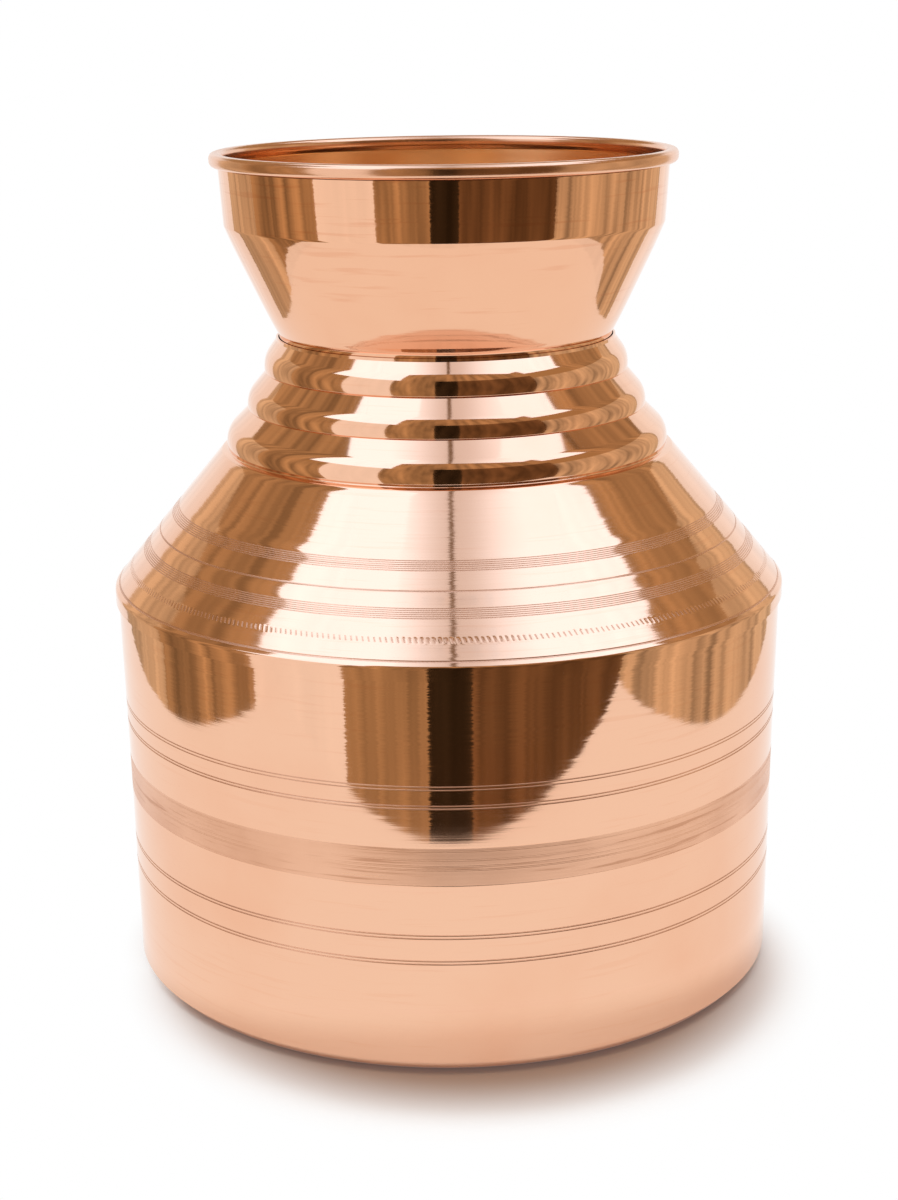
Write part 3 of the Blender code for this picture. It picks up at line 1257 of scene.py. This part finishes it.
@dataclass(frozen=True)
class Card:
    """An upright glowing card on a circle round the pot, for the copper to mirror, with painted shade of
    cloth folds.

    Attributes:
        start: First azimuth in degrees, 0 towards the camera and positive to the right.
        end: Last azimuth.
        low: Height of the lower edge.
        high: Height of the upper edge.
        tint: Colour of the card.
        level: Brightness of the card.
        distance: Radius of the circle.
        facet: Degrees of the circle for each flat part of the card.
        fold_scale: Folds of the cloth per metre along X, Y and Z.
        fold_detail: Octaves of the folds.
        fold_range: Noise of the darkest and the lightest painted fold shade.
    """

    start: float
    end: float
    low: float
    high: float
    tint: Tint
    level: float = 1.0
    distance: float = 1.3
    facet: float = 6.0
    fold_scale: Place = (9.0, 9.0, 0.8)
    fold_detail: float = 3.0
    fold_range: Point = (0.25, 0.75)

    def build(self, name: str) -> None:
        """Make the card, a bent sheet that only mirrors show.

        Args:
            name: Name of its object.
        """
        mesh = bmesh.new()
        columns = max(1, round((self.end - self.start) / self.facet))
        bmesh.ops.create_grid(mesh, x_segments=columns, y_segments=1, size=0.5)
        for vert in mesh.verts:
            azimuth = radians(self.start + (self.end - self.start) * (vert.co.x + 0.5))
            height = self.low + (self.high - self.low) * (vert.co.y + 0.5)
            vert.co = (self.distance * sin(azimuth), -self.distance * cos(azimuth), height)
        material = bpy.data.materials.new(name)
        graph = Graph(material)
        drawn = graph.add("ShaderNodeMapping", {"Vector": graph.place(), "Scale": self.fold_scale}).outputs[0]
        # Painted shade: noise lightens and darkens the card's glow as if the folds of a cloth caught the
        # light.
        cloth = graph.noise(drawn, 1.0, self.fold_detail)
        levels = (self.level * (1.0 - self.tint.folds), self.level * (1.0 + self.tint.folds))
        shade = graph.spread(cloth, self.fold_range, levels)
        graph.end(graph.glow(shade, self.tint.value))
        mirrored_only(put_in_scene(name, mesh, [material]))


@dataclass(frozen=True)
class Panel:
    """A level glowing sheet with soft edges, for the copper to mirror.

    Attributes:
        name: Name of its object.
        middle: Place of its middle.
        size: Length along X and along Y.
        tint: Colour of the glow.
        level: Brightness of the glow.
        fades: Shares of its size over which the glow fades at the left, right, front and back.
    """

    name: str
    middle: Place
    size: Point
    tint: Tint
    level: float
    fades: tuple[float, float, float, float]

    def build(self) -> None:
        """Make the sheet, which only mirrors show."""
        material = bpy.data.materials.new(self.name)
        graph = Graph(material)
        axes = graph.add("ShaderNodeSeparateXYZ", {0: graph.add("ShaderNodeTexCoord").outputs["UV"]}).outputs
        left, right, front, back = self.fades
        across = graph.math("MULTIPLY", graph.ramp(axes[0], 0.0, left), graph.ramp(axes[0], 1.0, 1.0 - right))
        depth = graph.math("MULTIPLY", graph.ramp(axes[1], 0.0, front), graph.ramp(axes[1], 1.0, 1.0 - back))
        clear = graph.add("ShaderNodeBsdfTransparent")
        glow = graph.glow(self.level, self.tint.value)
        graph.end(graph.either(graph.math("MULTIPLY", across, depth), clear, glow))
        mirrored_only(put_in_scene(self.name, level_sheet(self.middle, self.size), [material]))


@dataclass
class Studio:
    """White table, far floor, cards, panels, a soft lamp and the camera.

    Attributes:
        table: Left, front, right and back edge of the table.
        floor_reach: How far the far floor goes to the left and front, right and back.
        floor_lift: Glow that keeps the table pale near the pot.
        fade: Distance from the pot and the shadow's middle at which the table starts to be white, and is.
        shadow_narrow: How much narrower the painted shadow is than it is deep.
        shadow_contact: Factor on the distance from the pot's middle.
        shadow_reach: Distance from the painted shadow's middle at which its dark tone ends and its light one
            starts.
        shadow_tones: Dark and light tone of the shadow that is painted on the table for the camera.
        wall: Colour that the copper mirrors where no card stands.
        fill: Brightness of the soft light from all round.
        lamp_light: Brightness of the lamp's face.
    """

    table: tuple[float, float, float, float] = (-0.385, -0.305, 0.378, 1.5)
    floor_reach: Place = (-6.0, 6.0, 8.0)
    floor_level: float = -0.0002
    floor_colour: Colour = (0.88, 0.86, 0.84)
    floor_lift: float = 0.06
    fade: Point = (0.110, 0.136)
    # Painted shadow: middle, shape, reach and tones of the warm shadow painted on the table round the pot's
    # foot.
    shadow_middle: Point = (0.007, -0.028)
    shadow_narrow: float = 1.06
    shadow_contact: float = 1.08
    shadow_reach: Point = (0.088, 0.128)
    shadow_tones: tuple[Colour, Colour] = ((0.34, 0.19, 0.11), (0.96, 0.95, 0.94))
    wall: Colour = (0.43, 0.29, 0.14)
    fill: float = 0.45
    lamp_place: Place = (0.0, -0.15, 1.25)
    lamp_size: Point = (1.8, 1.1)
    lamp_light: float = 2.2
    cards: tuple[Card, ...] = (
        Card(137.0, 223.0, -1.80, 0.75, Tint.WHITE),
        Card(-127.0, 127.0, -1.80, -0.60, Tint.WHITE, 0.95),
        Card(-137.0, -110.0, -0.60, 0.75, Tint.TAN),
        Card(-110.0, -66.0, -0.60, 0.75, Tint.BROWN),
        Card(-66.0, -34.0, -0.60, 0.95, Tint.WHITE),
        Card(-34.0, -7.0, -0.60, 0.95, Tint.BROWN),
        Card(-7.0, 7.0, -0.60, 0.95, Tint.BLACK),
        Card(7.0, 56.0, -0.60, 0.95, Tint.UMBER),
        Card(56.0, 137.0, -0.60, 0.75, Tint.TAN),
        Card(-30.0, 56.0, 0.95, 2.35, Tint.BROWN),
        Card(-137.0, -80.0, 0.75, 4.00, Tint.BROWN),
        Card(90.0, 137.0, 0.75, 4.00, Tint.BROWN),
        Card(-80.0, -30.0, 0.95, 4.00, Tint.DAYLIGHT, 1.75),
        Card(56.0, 90.0, 1.25, 4.00, Tint.DAYLIGHT, 1.75),
    )
    panels: tuple[Panel, ...] = (
        Panel("left_softbox", (-0.200, 0.04, 1.2), (0.84, 1.52), Tint.DAYLIGHT, 1.75,
              (0.02, 0.72, 0.02, 0.20)),
        Panel("right_softbox", (0.265, 0.04, 1.205), (0.97, 1.52), Tint.DAYLIGHT, 1.75,
              (0.80, 0.02, 0.02, 0.20)),
        Panel("softbox_seam", (0.020, 0.04, 1.19), (0.038, 1.52), Tint.BROWN, 0.45,
              (0.25, 0.25, 0.02, 0.02)),
    )
    camera_place: Place = (0.0, -0.7474, 0.3376)
    camera_pitch: float = 15.565
    camera_roll: float = -0.697
    camera_lens: float = 63.681
    camera_sensor: float = 36.0
    camera_clip: Point = (0.01, 100.0)

    def ground(self, name: str, low: Point, high: Point, material: bpy.types.Material) -> bpy.types.Object:
        """Make a level rectangle of the floor.

        Args:
            name: Name of its object.
            low: Least X and Y.
            high: Greatest X and Y.
            material: Its finish.

        Returns:
            The rectangle.
        """
        size = (high[0] - low[0], high[1] - low[1])
        middle = (low[0] + size[0] / 2, low[1] + size[1] / 2, self.floor_level)
        piece = put_in_scene(name, level_sheet(middle, size), [material])
        piece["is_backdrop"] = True
        return piece

    def table_material(self) -> bpy.types.Material:
        """White table that keeps the pot's cast shadow, with a warm shadow painted round the pot's foot for
        the camera.

        Returns:
            A finish that fades to plain white away from the pot.
        """
        material = bpy.data.materials.new("white_table")
        graph = Graph(material)
        seen = graph.seen("Is Camera Ray", "Is Glossy Ray", "Is Transmission Ray")
        place = graph.place()
        drawn = graph.vector("MULTIPLY", {0: place, 1: (self.shadow_narrow, 1.0, 1.0)})
        side = graph.vector("DISTANCE", {0: drawn, 1: (*self.shadow_middle, 0.0)}, "Value")
        reach = graph.vector("LENGTH", {0: place}, "Value")
        close = graph.math("MINIMUM", side, graph.math("MULTIPLY", reach, self.shadow_contact))
        # Painted shadow: camera rays see the table's colour run from a dark warm brown round the pot's foot
        # to a light tone further out.
        shade = graph.mix(graph.ramp(side, *self.shadow_reach), *self.shadow_tones)
        tone = graph.mix(graph.seen("Is Camera Ray"), self.floor_colour, shade)
        paint = graph.add("ShaderNodeBsdfDiffuse", {"Color": tone})
        lift = graph.glow(graph.math("MULTIPLY", seen, self.floor_lift))
        lit = graph.add("ShaderNodeAddShader", {0: paint.outputs[0], 1: lift.outputs[0]})
        away = graph.math("MULTIPLY", seen, graph.ramp(close, *self.fade))
        graph.end(graph.either(away, lit, graph.glow(1.0)))
        return material

    def far_material(self) -> bpy.types.Material:
        """Plain white of the floor beyond the table."""
        material = bpy.data.materials.new("white_floor")
        graph = Graph(material)
        graph.end(graph.glow(graph.seen("Is Camera Ray")))
        return material

    def lay_floor(self) -> None:
        """Set up the table and lay the far floor round it, which only the camera sees."""
        left, front, right, back = self.table
        near, side, far = self.floor_reach
        self.ground("table", (left, front), (right, back), self.table_material())
        white = self.far_material()
        strips = {
            "floor_left": ((near, near), (left, far)),
            "floor_right": ((right, near), (side, far)),
            "floor_front": ((left, near), (right, front)),
            "floor_back": ((left, back), (right, far)),
        }
        for name, (low, high) in strips.items():
            strip = self.ground(name, low, high, white)
            strip.visible_glossy = False
            strip.visible_diffuse = False
            strip.visible_shadow = False

    def light_world(self) -> None:
        """White behind the pot, a plain wall colour in its mirror and a soft fill."""
        world = bpy.data.worlds.new("studio")
        bpy.context.scene.world = world
        graph = Graph(world)
        kind = "ShaderNodeBackground"
        white = graph.glow(1.0, kind=kind)
        wall = graph.glow(1.0, self.wall, kind)
        fill = graph.glow(self.fill, kind=kind)
        mirrored = graph.either(graph.seen("Is Glossy Ray"), fill, wall)
        both = graph.either(graph.seen("Is Camera Ray"), mirrored, white)
        graph.end(both, "ShaderNodeOutputWorld")

    def light_table(self) -> None:
        """Hang the soft lamp that lights the table."""
        lamp = bpy.data.lights.new("soft_lamp", "AREA")
        lamp.shape = "RECTANGLE"
        lamp.size, lamp.size_y = self.lamp_size
        lamp.energy = self.lamp_light * pi * self.lamp_size[0] * self.lamp_size[1]
        holder = bpy.data.objects.new("soft_lamp", lamp)
        holder.location = self.lamp_place
        holder.visible_camera = False
        holder.visible_glossy = False
        bpy.context.scene.collection.objects.link(holder)

    def place_camera(self) -> None:
        """Set the camera where the pot is seen from a little above its mouth."""
        data = bpy.data.cameras.new("camera")
        data.lens = self.camera_lens
        data.sensor_width = self.camera_sensor
        data.clip_start, data.clip_end = self.camera_clip
        camera = bpy.data.objects.new("camera", data)
        tilt = Matrix.Rotation(radians(90.0 - self.camera_pitch), 4, "X")
        roll = Matrix.Rotation(radians(self.camera_roll), 4, "Z")
        camera.matrix_world = Matrix.Translation(self.camera_place) @ tilt @ roll
        bpy.context.scene.collection.objects.link(camera)
        bpy.context.scene.camera = camera

    def build(self) -> None:
        """Set up the whole studio."""
        self.lay_floor()
        for index, card in enumerate(self.cards):
            card.build(f"card_{index:02d}")
        for panel in self.panels:
            panel.build()
        self.light_table()
        self.light_world()
        self.place_camera()
        bpy.context.scene.view_settings.view_transform = "Standard"
        log.info("studio: %d cards, %d panels", len(self.cards), len(self.panels))


def dress_node(node: str, material: bpy.types.Material) -> None:
    """Give a solid that stays in view its finish.

    Args:
        node: Name of the solid.
        material: Its finish.
    """
    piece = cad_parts[node]
    piece.data.materials.clear()
    piece.data.materials.append(material)
    log.info("%s: keeps its solid", node)


def corners() -> list[list[float]]:
    """Lowest and highest corner of what shows of the pot, as plain lists."""
    return [[float(value) for value in corner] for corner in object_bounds()]


def dress_pot() -> None:
    """Make the finishes and build the pot from the floor up."""
    outside = CopperFinish("polished_copper", (0.885, 0.500, 0.318), (0.840, 0.440, 0.270),
                           scuff=1.0).material()
    drum = CopperFinish("drum_copper", ragged=0.012, leans=Streaks(3.0, 2300.0, 1.0)).material()
    rings = CopperFinish("ring_copper", roughness=(0.05, 0.09), wave=0.0, line=0.0000012,
                         ragged=0.003).material()
    shoulder = CopperFinish("shoulder_copper", roughness=(0.055, 0.115), ragged=0.009).material()
    rim = CopperFinish("rim_copper", (0.86, 0.49, 0.32), (0.78, 0.42, 0.27), (0.16, 0.26),
                       wave=0.0).material()
    brushed = CopperFinish("brushed_copper", (0.87, 0.50, 0.33), (0.70, 0.37, 0.23), (0.26, 0.40),
                           line=0.0000080, ragged=0.020, scuff=1.0).material()
    engraved = CopperFinish("engraved_copper", (0.80, 0.45, 0.30), (0.58, 0.30, 0.19), (0.28, 0.42),
                            wave=0.0, line=0.0).material()
    # Painted light: the inner copper is a lighter copy of the copper, which brightens the pot's inside beyond
    # what its light gives.
    inside = CopperFinish("lightened_inner_copper", (0.99, 0.66, 0.39), (0.96, 0.60, 0.33), (0.19, 0.28),
                          wave=0.0, line=0.0, ragged=0.0).material()
    braze = RoughMetalFinish("brazing_brass", (0.80, 0.62, 0.30), (0.52, 0.36, 0.17), (0.32, 0.55),
                             grain=420.0).material()
    steel = RoughMetalFinish("rim_wire_steel", (0.56, 0.56, 0.58), (0.40, 0.40, 0.42), (0.28, 0.45),
                             grain=700.0).material()
    BasePan().build([drum, inside])
    DrumWall().build([drum, inside, brushed, engraved])
    RingedShoulder().build([shoulder, inside, rings, engraved])
    FunnelMouth().build([outside, inside, rim])
    dress_node("rim_wire", steel)
    for seam in ("base_braze_seam", "shoulder_braze_seam", "neck_braze_seam"):
        dress_node(seam, braze)


def main() -> None:
    """Dress the pot and set up the studio."""
    logging.basicConfig(level=logging.INFO, format="%(name)s: %(message)s")
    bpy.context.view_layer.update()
    dress_pot()
    Studio().build()


if __name__ == "__main__":
    main()
